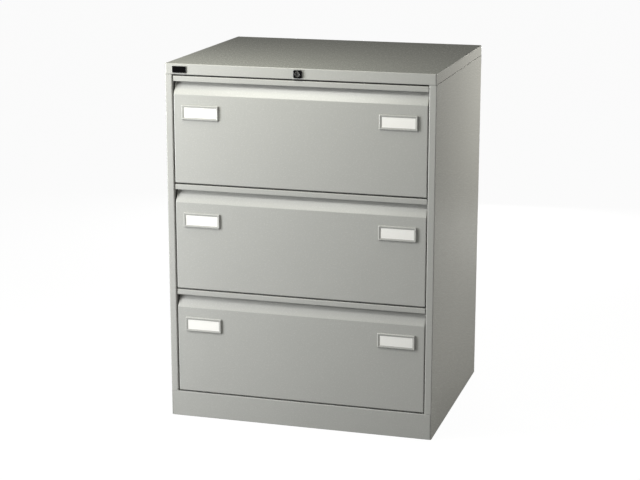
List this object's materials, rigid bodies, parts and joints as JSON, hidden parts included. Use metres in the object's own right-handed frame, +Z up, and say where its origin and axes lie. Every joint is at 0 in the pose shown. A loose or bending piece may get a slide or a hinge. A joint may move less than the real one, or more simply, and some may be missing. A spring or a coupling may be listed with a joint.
{
  "type": "lateral filing cabinet",
  "caption": "Wide sheet-steel filing cabinet with stacked drawers on telescopic runners, full-width finger recesses, label holders, a plinth and a central lock under the cap.",
  "frame": {"origin": "on the floor, under the middle of the carcass", "axes": "+Z up, +X to the right of someone facing the drawers, drawers open towards -Y"},
  "size_m": [0.762, 0.6283, 1.016],
  "materials": {
    "grey_paint": "fine-textured semi-gloss powder coat, warm light grey",
    "zinc_plate": "bright zinc plate",
    "black_plastic": "satin black moulding",
    "dark_steel": "turned, dark plated",
    "white_card": "matt white card"
  },
  "bodies": {
    "carcass": {"side_panel_left": "grey_paint", "side_panel_right": "grey_paint", "back_panel": "grey_paint", "top_panel": "grey_paint", "base_panel": "grey_paint", "plinth_panel": "grey_paint", "badge_plate": "black_plastic", "lock_housing": "black_plastic", "top_cabinet_runner_left": "zinc_plate", "top_cabinet_runner_right": "zinc_plate", "middle_cabinet_runner_left": "zinc_plate", "middle_cabinet_runner_right": "zinc_plate", "bottom_cabinet_runner_left": "zinc_plate", "bottom_cabinet_runner_right": "zinc_plate"},
    "lock_plug": {"lock_barrel": "dark_steel", "lock_cam": "zinc_plate"},
    "lock_slider": {"lock_transfer_bar": "zinc_plate"},
    "lock_lifter": {"lock_bar": "zinc_plate"},
    "top_drawer": {"top_front": "grey_paint", "top_front_liner": "grey_paint", "top_tray": "grey_paint", "top_back": "grey_paint", "top_centre_rail": "grey_paint", "top_label_holder_left": "grey_paint", "top_label_card_left": "white_card", "top_drawer_runner_left": "zinc_plate", "top_label_holder_right": "grey_paint", "top_label_card_right": "white_card", "top_drawer_runner_right": "zinc_plate", "top_lock_catch": "zinc_plate"},
    "top_runners": {"top_middle_runner_left": "zinc_plate", "top_middle_runner_right": "zinc_plate"},
    "middle_drawer": {"middle_front": "grey_paint", "middle_front_liner": "grey_paint", "middle_tray": "grey_paint", "middle_back": "grey_paint", "middle_centre_rail": "grey_paint", "middle_label_holder_left": "grey_paint", "middle_label_card_left": "white_card", "middle_drawer_runner_left": "zinc_plate", "middle_label_holder_right": "grey_paint", "middle_label_card_right": "white_card", "middle_drawer_runner_right": "zinc_plate", "middle_lock_catch": "zinc_plate"},
    "middle_runners": {"middle_middle_runner_left": "zinc_plate", "middle_middle_runner_right": "zinc_plate"},
    "bottom_drawer": {"bottom_front": "grey_paint", "bottom_front_liner": "grey_paint", "bottom_tray": "grey_paint", "bottom_back": "grey_paint", "bottom_centre_rail": "grey_paint", "bottom_label_holder_left": "grey_paint", "bottom_label_card_left": "white_card", "bottom_drawer_runner_left": "zinc_plate", "bottom_label_holder_right": "grey_paint", "bottom_label_card_right": "white_card", "bottom_drawer_runner_right": "zinc_plate", "bottom_lock_catch": "zinc_plate"},
    "bottom_runners": {"bottom_middle_runner_left": "zinc_plate", "bottom_middle_runner_right": "zinc_plate"}
  },
  "joints": [
    {"name": "top_drawer_slide", "type": "slide", "parent": "carcass", "child": "top_drawer", "axis": [0, -1, 0], "range_m": [0, 0.53]},
    {"name": "top_runners_slide", "type": "slide", "parent": "carcass", "child": "top_runners", "axis": [0, -1, 0], "range_m": [0, 0.265]},
    {"name": "middle_drawer_slide", "type": "slide", "parent": "carcass", "child": "middle_drawer", "axis": [0, -1, 0], "range_m": [0, 0.53]},
    {"name": "middle_runners_slide", "type": "slide", "parent": "carcass", "child": "middle_runners", "axis": [0, -1, 0], "range_m": [0, 0.265]},
    {"name": "bottom_drawer_slide", "type": "slide", "parent": "carcass", "child": "bottom_drawer", "axis": [0, -1, 0], "range_m": [0, 0.53]},
    {"name": "bottom_runners_slide", "type": "slide", "parent": "carcass", "child": "bottom_runners", "axis": [0, -1, 0], "range_m": [0, 0.265]},
    {"name": "lock_lift", "type": "slide", "parent": "carcass", "child": "lock_lifter", "axis": [0, 0, 1], "range_m": [0, 0.01131]},
    {"name": "lock_slide", "type": "slide", "parent": "carcass", "child": "lock_slider", "axis": [-1, 0, 0], "range_m": [0, 0.0114]},
    {"name": "lock_turn", "type": "hinge", "parent": "carcass", "child": "lock_plug", "pos_m": [0, -0.311, 1.001], "axis": [0, 1, 0], "range_deg": [0, 90]}
  ],
  "couplings": [
    {"joint": "top_runners_slide", "follows": "top_drawer_slide", "ratio": 0.5},
    {"joint": "middle_runners_slide", "follows": "middle_drawer_slide", "ratio": 0.5},
    {"joint": "bottom_runners_slide", "follows": "bottom_drawer_slide", "ratio": 0.5},
    {"joint": "lock_slide", "follows": "lock_lift", "ratio": 1},
    {"joint": "lock_turn", "follows": "lock_lift", "rad_per_m": 138.84}
  ]
}
